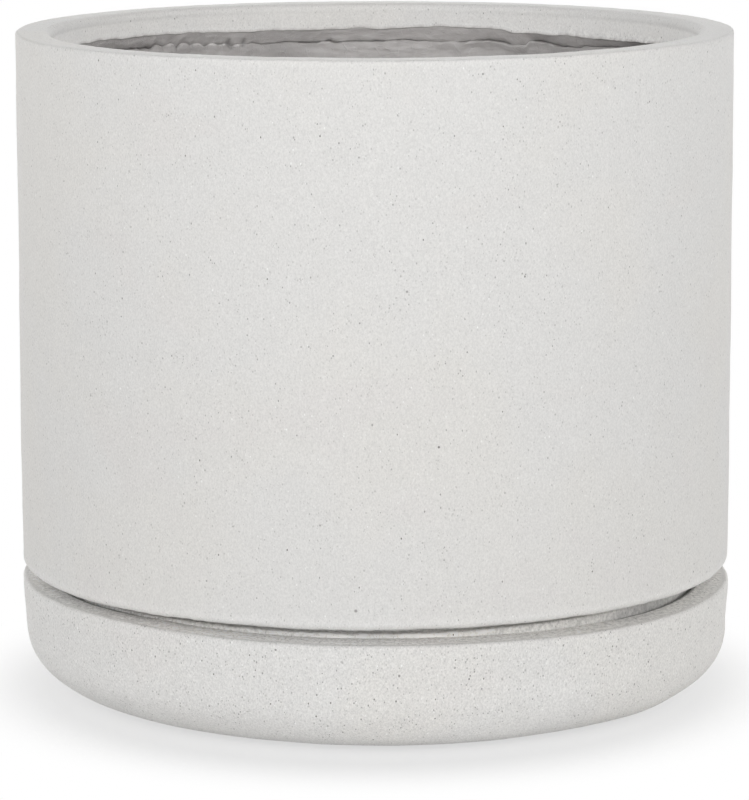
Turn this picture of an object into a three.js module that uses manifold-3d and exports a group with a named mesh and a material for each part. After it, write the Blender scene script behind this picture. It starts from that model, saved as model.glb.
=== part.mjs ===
// A round planter of stone-finish fiberglass that stands in a saucer of about its own width.
// Millimetres, +Z up, origin on the floor under the middle of the saucer.
// The pot has a stone-composite shell with a thick flat rim and a fiberglass lay-up behind it. Its wall
// ends in an overhang above the saucer, and a narrower foot under the overhang stands inside the saucer.

import * as THREE from 'three';
import { mergeVertices } from 'three/addons/utils/BufferGeometryUtils.js';
import Module from 'manifold-3d';

// Driving dimensions
const POT_RADIUS = 190;
const OVERALL_HEIGHT = 352.5;
const RIM_WIDTH = 18.7;
const RIM_OUTER_EDGE_RADIUS = 1.5;
const RIM_INNER_EDGE_RADIUS = 4.5;
const LIP_DEPTH = 15;
const LIP_SLOPE = 2;               // how far the underside of a lip rises towards the axis
const POT_WALL = 8;
const POT_BASE = 8;
const POT_LAMINATE = 3.5;

const SAUCER_RADIUS = 190.8;
const SAUCER_TOP = 59.8;
const SAUCER_RIM_WIDTH = 18;
const SAUCER_WAIST_RADIUS = 189.2; // where the wall rises from the rounded base, before it flares
const SAUCER_FLARE_TOP = 53;
const SAUCER_BASE_ROUNDING = 32;
const SAUCER_EDGE_RADIUS = 2;
const SAUCER_INNER_EDGE_RADIUS = 1.5;
const SAUCER_WALL = 7;
const SAUCER_LAMINATE = 3.5;
const SAUCER_LIP_DEPTH = 10;

const OVERHANG_BOTTOM = 67.5;
const OVERHANG_EDGE_RADIUS = 4;
const GROOVE_BOTTOM = 62;
const GROOVE_RADIUS = 166;
const GROOVE_SLOPE = 0.5;
const FOOT_RADIUS = 171;
const FOOT_ROUNDING = 17;
const FOOT_RING_WIDTH = 8;
const FOOT_RING_HEIGHT = 9;
const FOOT_RING_DRAFT = 2;
const FOOT_WALL = 12;

const NOTCH_COUNT = 3;
const NOTCH_WIDTH = 18;
const NOTCH_HEIGHT = 5;

const DRAIN_RADIUS = 11;
const FLANGE_RADIUS = 16;
const FLANGE_SEAT_RADIUS = 17;
const PLUG_LENGTH = 16.5;
const PLUG_TIP_RADIUS = 9.4;
const PLUG_EDGE_RADIUS = 1.2;
const PLUG_STRAIGHT = 2;           // straight top of the shank, above its taper
const DISH_RADIUS = 9;
const DISH_DEPTH = 1.2;

const PAD_RADIUS = 12.5;
const PAD_CIRCLE_RADIUS = 118;
const PAD_COUNT = 4;
const SAUCER_LIFT = 2;            // height of the saucer's underside above the floor

const GAP = 0.3;                  // clearance between pieces that touch

// Heights and radii worked out from the driving dimensions
const RIM_INNER_RADIUS = POT_RADIUS - RIM_WIDTH;
const LIP_BOTTOM = OVERALL_HEIGHT - LIP_DEPTH;
const SAUCER_FLAT_RADIUS = SAUCER_WAIST_RADIUS - SAUCER_BASE_ROUNDING;
const SAUCER_ROUND_TOP = SAUCER_LIFT + SAUCER_BASE_ROUNDING;
const SAUCER_RIM_INNER_RADIUS = SAUCER_RADIUS - SAUCER_RIM_WIDTH;
const SAUCER_LIP_BOTTOM = SAUCER_TOP - SAUCER_LIP_DEPTH;
const SAUCER_SHELL_FLOOR = SAUCER_LIFT + SAUCER_WALL;
const SAUCER_FLOOR = SAUCER_SHELL_FLOOR + GAP + SAUCER_LAMINATE;
const FOOT_BOTTOM = SAUCER_FLOOR + GAP;
const BASE_UNDERSIDE = FOOT_BOTTOM + FOOT_RING_HEIGHT;
const POT_SHELL_FLOOR = BASE_UNDERSIDE + POT_BASE;
const POT_FLOOR = POT_SHELL_FLOOR + GAP + POT_LAMINATE;

const ROUND_SEGMENTS = 64;
const SMALL_SEGMENTS = 36;
const PAD_SEGMENTS = 24;
const DEGREE = Math.PI / 180;

const stone = new THREE.MeshStandardMaterial({ color: 0xd9d8d5, roughness: 0.9, metalness: 0 });
const laminate = new THREE.MeshStandardMaterial({ color: 0x9c9b99, roughness: 0.7, metalness: 0 });
const blackRubber = new THREE.MeshStandardMaterial({ color: 0x1d1d1e, roughness: 0.75, metalness: 0 });
const greyFelt = new THREE.MeshStandardMaterial({ color: 0x6a6966, roughness: 1, metalness: 0 });

function point(radius, height) {
  return new THREE.Vector2(radius, height);
}

// Points along an arc about (centreRadius, centreHeight), from one angle to another in degrees.
// Angle 0 points away from the axis and 90 points up.
function arc(centreRadius, centreHeight, arcRadius, from, to, steps) {
  const points = [];
  for (let step = 0; step <= steps; step += 1) {
    const angle = (from + ((to - from) * step) / steps) * DEGREE;
    const radius = centreRadius + arcRadius * Math.cos(angle);
    points.push(point(radius, centreHeight + arcRadius * Math.sin(angle)));
  }
  return points;
}

// A solid of revolution about Z. A profile that doesn't reach the axis is closed on itself.
function turned(profile, segments) {
  const first = profile[0];
  const last = profile[profile.length - 1];
  const reachesAxis = first.x === 0 && last.x === 0;
  const closed = reachesAxis ? profile : [...profile, first.clone()];
  const geometry = new THREE.LatheGeometry(closed, segments);
  geometry.rotateX(90 * DEGREE);
  return geometry;
}

function named(name, geometry, material) {
  const mesh = new THREE.Mesh(geometry, material);
  mesh.name = name;
  return mesh;
}

const wasm = await Module();
wasm.setup();

function toSolid(geometry) {
  const bare = geometry.clone();
  bare.deleteAttribute('normal');
  bare.deleteAttribute('uv');
  const merged = mergeVertices(bare, 1e-4);
  const vertProperties = new Float32Array(merged.attributes.position.array);
  const triVerts = new Uint32Array(merged.index.array);
  return new wasm.Manifold(new wasm.Mesh({ numProp: 3, vertProperties, triVerts }));
}

function toGeometry(solid) {
  const mesh = solid.getMesh();
  const geometry = new THREE.BufferGeometry();
  geometry.setAttribute('position', new THREE.BufferAttribute(mesh.vertProperties, 3));
  geometry.setIndex(new THREE.BufferAttribute(mesh.triVerts, 1));
  geometry.computeVertexNormals();
  return geometry;
}

// The inside of the pot, from under the lip down to the start of its flat floor. The wall steps in over the
// overhang to the narrower foot. An inset of 0 gives the shell's own surface, and a larger one a layer in it.
function potHollow(inset) {
  const wallRadius = POT_RADIUS - POT_WALL;
  const footWallRadius = FOOT_RADIUS - FOOT_WALL;
  const ledge = OVERHANG_BOTTOM + POT_BASE;
  const wallCorner = 12;
  const ledgeCorner = 5;
  const floorCorner = 12;
  return [
    point(wallRadius - inset, LIP_BOTTOM - inset),
    ...arc(wallRadius - wallCorner, ledge + wallCorner, wallCorner - inset, 0, -90, 3),
    ...arc(footWallRadius + ledgeCorner, ledge - ledgeCorner, ledgeCorner + inset, 90, 180, 3),
    ...arc(footWallRadius - floorCorner, POT_SHELL_FLOOR + floorCorner, floorCorner - inset, 0, -90, 3),
  ];
}

function potShell() {
  const footFlat = FOOT_RADIUS - FOOT_ROUNDING;
  const footInner = footFlat - FOOT_RING_WIDTH;
  const edge = OVERHANG_EDGE_RADIUS;
  const rimOuterEdge = RIM_OUTER_EDGE_RADIUS;
  const rimInnerEdge = RIM_INNER_EDGE_RADIUS;
  const profile = [
    point(DRAIN_RADIUS, BASE_UNDERSIDE),
    point(footInner - FOOT_RING_DRAFT, BASE_UNDERSIDE),
    point(footInner, FOOT_BOTTOM),
    ...arc(footFlat, FOOT_BOTTOM + FOOT_ROUNDING, FOOT_ROUNDING, -90, 0, 4),
    point(FOOT_RADIUS, GROOVE_BOTTOM),
    point(GROOVE_RADIUS, GROOVE_BOTTOM + GROOVE_SLOPE),
    point(GROOVE_RADIUS, OVERHANG_BOTTOM),
    ...arc(POT_RADIUS - edge, OVERHANG_BOTTOM + edge, edge, -90, 0, 3),
    ...arc(POT_RADIUS - rimOuterEdge, OVERALL_HEIGHT - rimOuterEdge, rimOuterEdge, 0, 90, 3),
    ...arc(RIM_INNER_RADIUS + rimInnerEdge, OVERALL_HEIGHT - rimInnerEdge, rimInnerEdge, 90, 180, 3),
    point(RIM_INNER_RADIUS, LIP_BOTTOM + LIP_SLOPE),
    ...potHollow(0),
    point(DRAIN_RADIUS, POT_SHELL_FLOOR),
  ];
  const shell = toSolid(turned(profile, ROUND_SEGMENTS)).subtract(footNotches(footInner));
  return named('pot_shell', toGeometry(shell), stone);
}

// Slots through the foot ring, so that water from the drain hole spreads over the whole saucer.
function footNotches(footInner) {
  const length = FOOT_RADIUS - footInner + FOOT_RING_WIDTH;
  const middle = (FOOT_RADIUS + footInner) / 2;
  let notches = null;
  for (let index = 0; index < NOTCH_COUNT; index += 1) {
    const box = new THREE.BoxGeometry(length, NOTCH_WIDTH, 2 * NOTCH_HEIGHT);
    box.translate(middle, 0, FOOT_BOTTOM);
    box.rotateZ((90 + (index * 360) / NOTCH_COUNT) * DEGREE);
    const notch = toSolid(box);
    notches = notches ? notches.add(notch) : notch;
  }
  return notches;
}

function potLaminate() {
  const profile = [
    point(FLANGE_SEAT_RADIUS, POT_SHELL_FLOOR + GAP),
    ...potHollow(GAP).reverse(),
    ...potHollow(GAP + POT_LAMINATE),
    point(FLANGE_SEAT_RADIUS, POT_FLOOR),
  ];
  return named('pot_laminate', turned(profile, ROUND_SEGMENTS), laminate);
}

// The stopper: a tapered shank in the drain hole under a flange sunk into the pot's floor.
function drainPlug() {
  const shankRadius = DRAIN_RADIUS - GAP;
  const flangeBottom = POT_SHELL_FLOOR + GAP;
  const top = POT_FLOOR - GAP;
  const tip = top - PLUG_LENGTH;
  const edge = PLUG_EDGE_RADIUS;
  const profile = [
    point(0, tip),
    point(PLUG_TIP_RADIUS - edge, tip),
    point(PLUG_TIP_RADIUS, tip + edge),
    point(shankRadius, flangeBottom - PLUG_STRAIGHT),
    point(shankRadius, flangeBottom),
    point(FLANGE_RADIUS, flangeBottom),
    ...arc(FLANGE_RADIUS - edge, top - edge, edge, 0, 90, 2),
    point(DISH_RADIUS + DISH_DEPTH, top),
    point(DISH_RADIUS, top - DISH_DEPTH),
    point(0, top - DISH_DEPTH),
  ];
  return named('drain_plug', turned(profile, SMALL_SEGMENTS), blackRubber);
}

// The inside of the saucer, from under its lip down to the start of its flat floor.
function saucerHollow(inset) {
  const wallRadius = SAUCER_WAIST_RADIUS - SAUCER_WALL;
  const roundRadius = SAUCER_BASE_ROUNDING - SAUCER_WALL - inset;
  return [
    point(wallRadius - inset, SAUCER_LIP_BOTTOM - inset),
    ...arc(SAUCER_FLAT_RADIUS, SAUCER_ROUND_TOP, roundRadius, 0, -90, 4),
  ];
}

function saucerShell() {
  const edge = SAUCER_EDGE_RADIUS;
  const innerEdge = SAUCER_INNER_EDGE_RADIUS;
  const profile = [
    point(0, SAUCER_LIFT),
    ...arc(SAUCER_FLAT_RADIUS, SAUCER_ROUND_TOP, SAUCER_BASE_ROUNDING, -90, 0, 6),
    point(SAUCER_RADIUS, SAUCER_FLARE_TOP),
    ...arc(SAUCER_RADIUS - edge, SAUCER_TOP - edge, edge, 0, 90, 3),
    ...arc(SAUCER_RIM_INNER_RADIUS + innerEdge, SAUCER_TOP - innerEdge, innerEdge, 90, 180, 2),
    point(SAUCER_RIM_INNER_RADIUS, SAUCER_LIP_BOTTOM + LIP_SLOPE),
    ...saucerHollow(0),
    point(0, SAUCER_SHELL_FLOOR),
  ];
  return named('saucer_shell', turned(profile, ROUND_SEGMENTS), stone);
}

function saucerLaminate() {
  const profile = [
    point(0, SAUCER_SHELL_FLOOR + GAP),
    ...saucerHollow(GAP).reverse(),
    ...saucerHollow(GAP + SAUCER_LAMINATE),
    point(0, SAUCER_FLOOR),
  ];
  return named('saucer_laminate', turned(profile, ROUND_SEGMENTS), laminate);
}

function saucerPad(index) {
  const angle = (45 + (index * 360) / PAD_COUNT) * DEGREE;
  const thickness = SAUCER_LIFT - GAP;
  const geometry = new THREE.CylinderGeometry(PAD_RADIUS, PAD_RADIUS, thickness, PAD_SEGMENTS);
  geometry.rotateX(90 * DEGREE);
  const pad = named(`saucer_pad_${index + 1}`, geometry, greyFelt);
  const reach = PAD_CIRCLE_RADIUS;
  pad.position.set(reach * Math.cos(angle), reach * Math.sin(angle), thickness / 2);
  return pad;
}

const saucer = new THREE.Group();
saucer.add(saucerShell(), saucerLaminate());
for (let index = 0; index < PAD_COUNT; index += 1) {
  saucer.add(saucerPad(index));
}

const pot = new THREE.Group();
pot.add(potShell(), potLaminate(), drainPlug());

const planter = new THREE.Group();
planter.add(saucer, pot);

export default planter;
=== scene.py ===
# A round planter in stone-finish fiberglass, standing in its saucer. Metres, +Z up, the same frame as the
# solids. Every shell is a fine skin of revolution, made irregular by small seeded functions of angle and
# height, as hand-laid work is. Down to the materials, lengths are in millimetres. Places round the planter
# are in degrees: 0 is at the right, 90 behind and 270 in front.

import math

import bpy
import numpy as np
from mathutils import Euler, Matrix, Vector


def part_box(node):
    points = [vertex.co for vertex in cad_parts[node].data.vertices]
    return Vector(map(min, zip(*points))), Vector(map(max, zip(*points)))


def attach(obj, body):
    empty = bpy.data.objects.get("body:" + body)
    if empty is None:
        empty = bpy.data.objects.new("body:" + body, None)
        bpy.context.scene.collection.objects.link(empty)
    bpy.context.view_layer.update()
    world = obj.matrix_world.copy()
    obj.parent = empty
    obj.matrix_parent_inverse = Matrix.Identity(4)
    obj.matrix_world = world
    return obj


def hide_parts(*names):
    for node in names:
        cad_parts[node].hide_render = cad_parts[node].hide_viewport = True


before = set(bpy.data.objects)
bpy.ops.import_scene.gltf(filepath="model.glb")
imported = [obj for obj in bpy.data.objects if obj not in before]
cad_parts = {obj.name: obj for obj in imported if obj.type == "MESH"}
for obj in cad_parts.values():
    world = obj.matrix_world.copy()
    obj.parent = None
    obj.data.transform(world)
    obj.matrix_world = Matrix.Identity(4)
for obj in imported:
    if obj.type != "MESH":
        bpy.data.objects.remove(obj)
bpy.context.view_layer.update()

MM = 0.001
TAU = 2 * math.pi

# ---------------- sizes, in millimetres

POT_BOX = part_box("pot_shell")
SAUCER_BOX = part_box("saucer_shell")
PAD_NODES = ["saucer_pad_1", "saucer_pad_2", "saucer_pad_3", "saucer_pad_4"]

POT_RADIUS = POT_BOX[1].x / MM
RIM_TOP = POT_BOX[1].z / MM
FOOT_BOTTOM = POT_BOX[0].z / MM
SAUCER_BOTTOM = SAUCER_BOX[0].z / MM
SAUCER_TOP = SAUCER_BOX[1].z / MM
SAUCER_RADIUS = SAUCER_BOX[1].x / MM

RIM_INNER_RADIUS = POT_RADIUS - 18.7
RIM_OUTER_EDGE = 1.5
RIM_INNER_EDGE = 4.5
LIP_HEIGHT = 15.0
WALL_INNER_RADIUS = POT_RADIUS - 8
LAMINATE = 3.5
GAP = 0.3
OVERHANG_BOTTOM = 67.5
OVERHANG_EDGE = 4.0
FOOT_RADIUS = 171.0
FOOT_ROUNDING = 17.0
FOOT_RING_WIDTH = 8.0
FOOT_WALL = 12.0
GROOVE_RADIUS = 166.0
GROOVE_BOTTOM = 62.0
BASE_UNDERSIDE = FOOT_BOTTOM + 9
POT_SHELL_FLOOR = BASE_UNDERSIDE + 8
DRAIN_RADIUS = 11.0
FLANGE_SEAT_RADIUS = 17.0

# Drain notches under the foot's ring, one of them at the back.
NOTCHES = 3
NOTCH_RADIUS = 155.0
NOTCH_HALF_WIDTH = 9.0
NOTCH_DEPTH = 5.0

SAUCER_RIM_INNER_RADIUS = SAUCER_RADIUS - 18.0
SAUCER_WAIST_RADIUS = SAUCER_RADIUS - 1.6
SAUCER_FLARE_TOP = 53.0
SAUCER_EDGE = 2.0
SAUCER_INNER_EDGE = 1.5
SAUCER_ROUNDING = 32.0
SAUCER_WALL = 7.0
SAUCER_LIP_DEPTH = 10.0

# The photograph's camera, in metres, radians and pixels of its image.
IMAGE_WIDTH = 749
CAMERA_DISTANCE = 2.2416
CAMERA_HEIGHT = 0.5326
CAMERA_OFFSET = -0.00044
CAMERA_TILT = 0.1682
CAMERA_ROLL = -0.0019
FOCAL_PIXELS = 4222.2
SENSOR_WIDTH = 36.0


# ---------------- profiles

def arc(centre_radius, centre_height, radius, start, end, steps, zone):
    """Points (radius, height, zone) along an arc. Angle 0 points away from the axis and 90 points up."""
    points = []
    for step in range(steps + 1):
        angle = math.radians(start + (end - start) * step / steps)
        points.append((centre_radius + radius * math.cos(angle),
                       centre_height + radius * math.sin(angle), zone))
    return points


def run(start, end, spacing, zone):
    """Evenly spaced points from start to end, both left out."""
    length = math.dist(start, end)
    steps = max(1, round(length / spacing))
    points = []
    for step in range(1, steps):
        part = step / steps
        points.append((start[0] + (end[0] - start[0]) * part,
                       start[1] + (end[1] - start[1]) * part, zone))
    return points


def joined(*stretches):
    """Stretches of profile one after another, with no point twice."""
    profile = []
    for stretch in stretches:
        for point in stretch:
            if not profile or math.dist(point[:2], profile[-1][:2]) > 1e-4:
                profile.append(point)
    return profile


# ---------------- irregularity

def ripple(angle, height, wavelength, seed, stretch=1.0, radius=180.0, waves=22):
    """Smooth band-limited noise round a cylinder, of unit spread. A stretch over 1 draws it out sideways."""
    rng = np.random.default_rng(seed)
    total = np.zeros(np.broadcast(angle, height).shape)
    for _ in range(waves):
        heading = rng.uniform(0, math.pi)
        length = wavelength * rng.uniform(0.6, 1.6)
        turns = round(math.cos(heading) * TAU * radius / (length * stretch))
        rise = math.sin(heading) * TAU / length
        total = total + np.cos(turns * angle + rise * height + rng.uniform(0, TAU))
    return total / math.sqrt(waves / 2)


def ripples(angle, height, waves):
    """The sum of several ripples, each (wavelength, seed, size) and, where it is drawn out, its stretch."""
    total = 0
    for wavelength, seed, size, *stretch in waves:
        total = total + ripple(angle, height, wavelength, seed, *stretch) * size
    return total


def ramp(value, low, high):
    """0 below low, 1 above high, smooth between them."""
    part = np.clip((value - low) / (high - low), 0, 1)
    return part * part * (3 - 2 * part)


def around(points, angle):
    """A smooth closed curve through (degrees, value) points, read at angle."""
    degrees = np.mod(np.degrees(angle), 360)
    knots = sorted(points)
    first = knots[0]
    knots = [(knots[-1][0] - 360, knots[-1][1])] + knots + [(first[0] + 360, first[1])]
    result = np.zeros_like(degrees)
    for (start, low), (end, high) in zip(knots, knots[1:]):
        inside = (degrees >= start) & (degrees < end)
        result = np.where(inside, low + (high - low) * ramp(degrees, start, end), result)
    return result


def within(zones, *names):
    """1 on the points of the named zones, and 0 elsewhere."""
    return np.isin(zones, names) * 1.0


# ---------------- skins of revolution

def skin(name, profile, segments, shape, on_axis=False):
    """A closed mesh turned from a profile whose inside lies on its left.

    shape moves radius and height, and gives the weights that the materials read as attributes.
    """
    radius = np.array([point[0] for point in profile])[:, None]
    height = np.array([point[1] for point in profile])[:, None]
    zones = np.array([point[2] for point in profile])[:, None]
    angle = (np.arange(segments) * TAU / segments)[None, :]
    radius, height, weights = shape(radius + 0 * angle, height + 0 * angle, angle + 0 * radius, zones)
    rings = len(profile)
    place = np.stack([radius * np.cos(angle), radius * np.sin(angle), height], -1).reshape(-1, 3) * MM

    index = np.arange(rings * segments).reshape(rings, segments)
    beside = np.roll(index, -1, axis=1)
    upper = np.roll(index, -1, axis=0)
    upper_beside = np.roll(beside, -1, axis=0)
    quads = np.stack([index, beside, upper_beside, upper], -1)
    if on_axis:
        quads = quads[:-1]
    faces = quads.reshape(-1, 4).tolist()
    if on_axis:
        middle_low = len(place)
        place = np.vstack([place, [0, 0, height[0].mean() * MM], [0, 0, height[-1].mean() * MM]])
        for here, there in zip(index[0], beside[0]):
            faces.append((middle_low, int(there), int(here)))
        for here, there in zip(index[-1], beside[-1]):
            faces.append((int(here), int(there), middle_low + 1))

    mesh = bpy.data.meshes.new(name)
    mesh.from_pydata(place.tolist(), [], faces)
    for key, values in weights.items():
        layer = mesh.attributes.new(key, "FLOAT", "POINT")
        spread = np.zeros(len(place))
        spread[:rings * segments] = np.broadcast_to(values, (rings, segments)).ravel()
        layer.data.foreach_set("value", spread)
    mesh.validate()
    mesh.shade_smooth()
    piece = bpy.data.objects.new(name, mesh)
    bpy.context.scene.collection.objects.link(piece)
    return piece


# ---------------- pot

# How far below the rim's top the pale lip ends, and the crease in the lay-up runs, by degrees round the pot.
LIP_DEPTH = [(20, 15.2), (39, 16.4), (48, 16.2), (53, 15.9), (58, 15.6), (60.5, 15.3), (62.3, 15.9),
             (65.3, 14.2), (72, 13.4), (77, 13.4), (90, 14.7), (103, 15.2), (111, 15.0), (120, 15.0),
             (130, 14.1), (141, 14.0), (165, 14.0), (200, 15.2), (235, 13.6), (270, 14.8), (310, 13.7),
             (340, 14.6)]
CREASE_DEPTH = [(15, 18.5), (32, 18.0), (38, 20.0), (46, 21.0), (50, 22.0), (53, 21.6), (57.4, 19.9),
                (59.3, 19.6), (61.2, 22.8), (63.4, 22.6), (65.2, 20.9), (70, 20.8), (76, 22.1), (83, 21.4),
                (91.8, 22.0), (97.3, 22.2), (98.4, 21.3), (100.7, 22.3), (103.6, 22.0), (113, 22.3),
                (121.6, 21.7), (125, 20.9), (131, 20.6), (134, 20.0), (142, 20.4), (150, 19.6), (165, 20.5),
                (200, 19.6), (230, 22.0), (265, 20.5), (300, 22.3), (335, 20.2)]
# How deep the crease is and how much painted shade it gets: 1 where the mat is torn or tucked in, near 0
# where it runs on smoothly.
CREASE_DARK = [(30, 0.5), (40, 0.6), (47, 0.2), (50.5, 0.4), (53, 1.0), (58, 1.0), (59.6, 0.2), (61, 0.3),
               (63.5, 0.3), (64.5, 0.9), (69.5, 0.9), (71.5, 0.35), (77, 0.3), (79, 0.1), (82, 0.1),
               (83.5, 0.3), (85.5, 0.3), (87, 0.1), (90.5, 0.5), (94.5, 0.5), (96, 0.05), (97.2, 1.0),
               (98.8, 1.0), (99.8, 0.2), (100.8, 0.9), (103.6, 1.0), (105, 0.35), (112, 0.15), (118, 0.15),
               (121, 0.35), (132, 0.45), (134, 0.9), (143, 1.0), (148, 0.8), (170, 0.4), (340, 0.4)]
# How far the rim dips under its highest point, at the back right.
RIM_DIP = [(45, 0.05), (90, 0.05), (130, 0.1), (160, 0.3), (182, 0.7), (205, 1.1), (228, 1.1), (250, 0.8),
           (275, 0.85), (295, 0.7), (315, 0.3), (335, 0.1)]
# Height of the top of the foot wall, under the overhang. It sinks a little at the front.
FOOT_SHOULDER = [(200, 60.0), (218, 60.9), (225, 61.4), (235, 62.0), (245, 62.1), (258, 61.8), (270, 61.5),
                 (284, 61.8), (296, 62.2), (305, 62.2), (312, 62.5), (330, 63.4), (30, 63.0), (90, 62.6),
                 (150, 62.4)]
# Painted light: how much paler than the open face the foot is, by degrees round, and the lip and the rim
# are. The lip is paler still at both sides. Then painted shade: how much darker the groove and the sunk
# part of the foot are.
FOOT_PAINTED_LIGHT = [(205, 0.3), (225, 0.3), (245, 0.2), (263, 0.42), (283, 0.4), (296, 0.2), (312, 0.09),
              (330, -0.06), (20, 0.0), (160, 0.0)]
LIP_PAINTED_LIGHT = 0.10
LIP_PAINTED_LIGHT_SIDES = 0.13
RIM_PAINTED_LIGHT = 0.06
RECESS_PAINTED_SHADE = 0.25

LIP_EDGE = 0.7
OVERHANG_SLOPE = 0.001

POT_WAVES = [(120, 11, 0.13), (34, 12, 0.05), (9, 13, 0.016)]
LIP_WAVES = [(17, 16, 0.2), (5, 17, 0.09)]
OVERHANG_WAVES = [(40, 18, 0.12), (6, 19, 0.09)]
FOOT_WAVES = [(60, 21, 0.25), (12, 22, 0.07)]


def pot_hollow(inset, spacing, zone):
    """The inside of the pot from under the lip to the flat floor, as the solids have it."""
    wall = WALL_INNER_RADIUS - inset
    foot_wall = FOOT_RADIUS - FOOT_WALL
    ledge = OVERHANG_BOTTOM + 8
    corner = 12
    small = 5
    top = RIM_TOP - LIP_HEIGHT - inset
    wall_foot = ledge + corner
    foot_top = ledge - small
    floor_top = POT_SHELL_FLOOR + corner
    return joined(
        [(wall, top, zone)],
        run((wall, top), (wall, wall_foot), spacing, zone),
        arc(WALL_INNER_RADIUS - corner, wall_foot, corner - inset, 0, -90, 6, zone),
        arc(foot_wall + small, foot_top, small + inset, 90, 180, 6, zone),
        run((foot_wall - inset, foot_top), (foot_wall - inset, floor_top), spacing, zone),
        arc(foot_wall - corner, floor_top, corner - inset, 0, -90, 6, zone),
    )


def pot_profile():
    """The pot's stone, from the drain hole out under the base, up outside, over the rim and down inside."""
    foot_flat = FOOT_RADIUS - FOOT_ROUNDING
    foot_inner = foot_flat - FOOT_RING_WIDTH
    foot_round_top = FOOT_BOTTOM + FOOT_ROUNDING
    edge_radius = POT_RADIUS - OVERHANG_EDGE
    wall_bottom = OVERHANG_BOTTOM + OVERHANG_EDGE
    wall_top = RIM_TOP - RIM_OUTER_EDGE
    rim_outer = POT_RADIUS - RIM_OUTER_EDGE
    rim_inner = RIM_INNER_RADIUS + RIM_INNER_EDGE
    lip_top = RIM_TOP - RIM_INNER_EDGE
    lip_bottom = RIM_TOP - LIP_HEIGHT
    return joined(
        [(DRAIN_RADIUS, BASE_UNDERSIDE, "hidden")],
        run((DRAIN_RADIUS, BASE_UNDERSIDE), (foot_inner - 2, BASE_UNDERSIDE), 12, "hidden"),
        [(foot_inner - 2, BASE_UNDERSIDE, "foot")],
        arc(foot_inner + 1.5, FOOT_BOTTOM + 1.5, 1.5, 180, 270, 3, "foot"),
        run((foot_inner + 1.5, FOOT_BOTTOM), (foot_flat, FOOT_BOTTOM), 2, "foot"),
        arc(foot_flat, foot_round_top, FOOT_ROUNDING, -90, 0, 10, "foot"),
        run((FOOT_RADIUS, foot_round_top), (FOOT_RADIUS, GROOVE_BOTTOM - 1), 3, "foot"),
        arc(FOOT_RADIUS - 1, GROOVE_BOTTOM - 1, 1, 0, 90, 3, "shoulder"),
        run((FOOT_RADIUS - 1, GROOVE_BOTTOM), (GROOVE_RADIUS, GROOVE_BOTTOM + 0.5), 2, "shoulder"),
        [(GROOVE_RADIUS, GROOVE_BOTTOM + 0.5, "shoulder")],
        [(GROOVE_RADIUS, OVERHANG_BOTTOM, "overhang")],
        run((GROOVE_RADIUS, OVERHANG_BOTTOM), (edge_radius, OVERHANG_BOTTOM), 2.5, "overhang"),
        arc(edge_radius, wall_bottom, OVERHANG_EDGE, -90, 0, 8, "overhang"),
        run((POT_RADIUS, wall_bottom), (POT_RADIUS, wall_top), 2.6, "wall"),
        arc(rim_outer, wall_top, RIM_OUTER_EDGE, 0, 90, 5, "rim"),
        run((rim_outer, RIM_TOP), (rim_inner, RIM_TOP), 1.6, "rim"),
        arc(rim_inner, lip_top, RIM_INNER_EDGE, 90, 180, 8, "rim"),
        run((RIM_INNER_RADIUS, lip_top), (RIM_INNER_RADIUS, lip_bottom + LIP_EDGE), 1.5, "lip"),
        arc(RIM_INNER_RADIUS + LIP_EDGE, lip_bottom + LIP_EDGE, LIP_EDGE, 180, 270, 5, "lip_end"),
        run((RIM_INNER_RADIUS + LIP_EDGE, lip_bottom), (WALL_INNER_RADIUS, lip_bottom), 2.5, "lip_end"),
        pot_hollow(0, 14, "hidden"),
        run((FOOT_RADIUS - FOOT_WALL - 12, POT_SHELL_FLOOR), (DRAIN_RADIUS, POT_SHELL_FLOOR), 14, "hidden"),
        [(DRAIN_RADIUS, POT_SHELL_FLOOR, "hidden")],
    )


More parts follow.
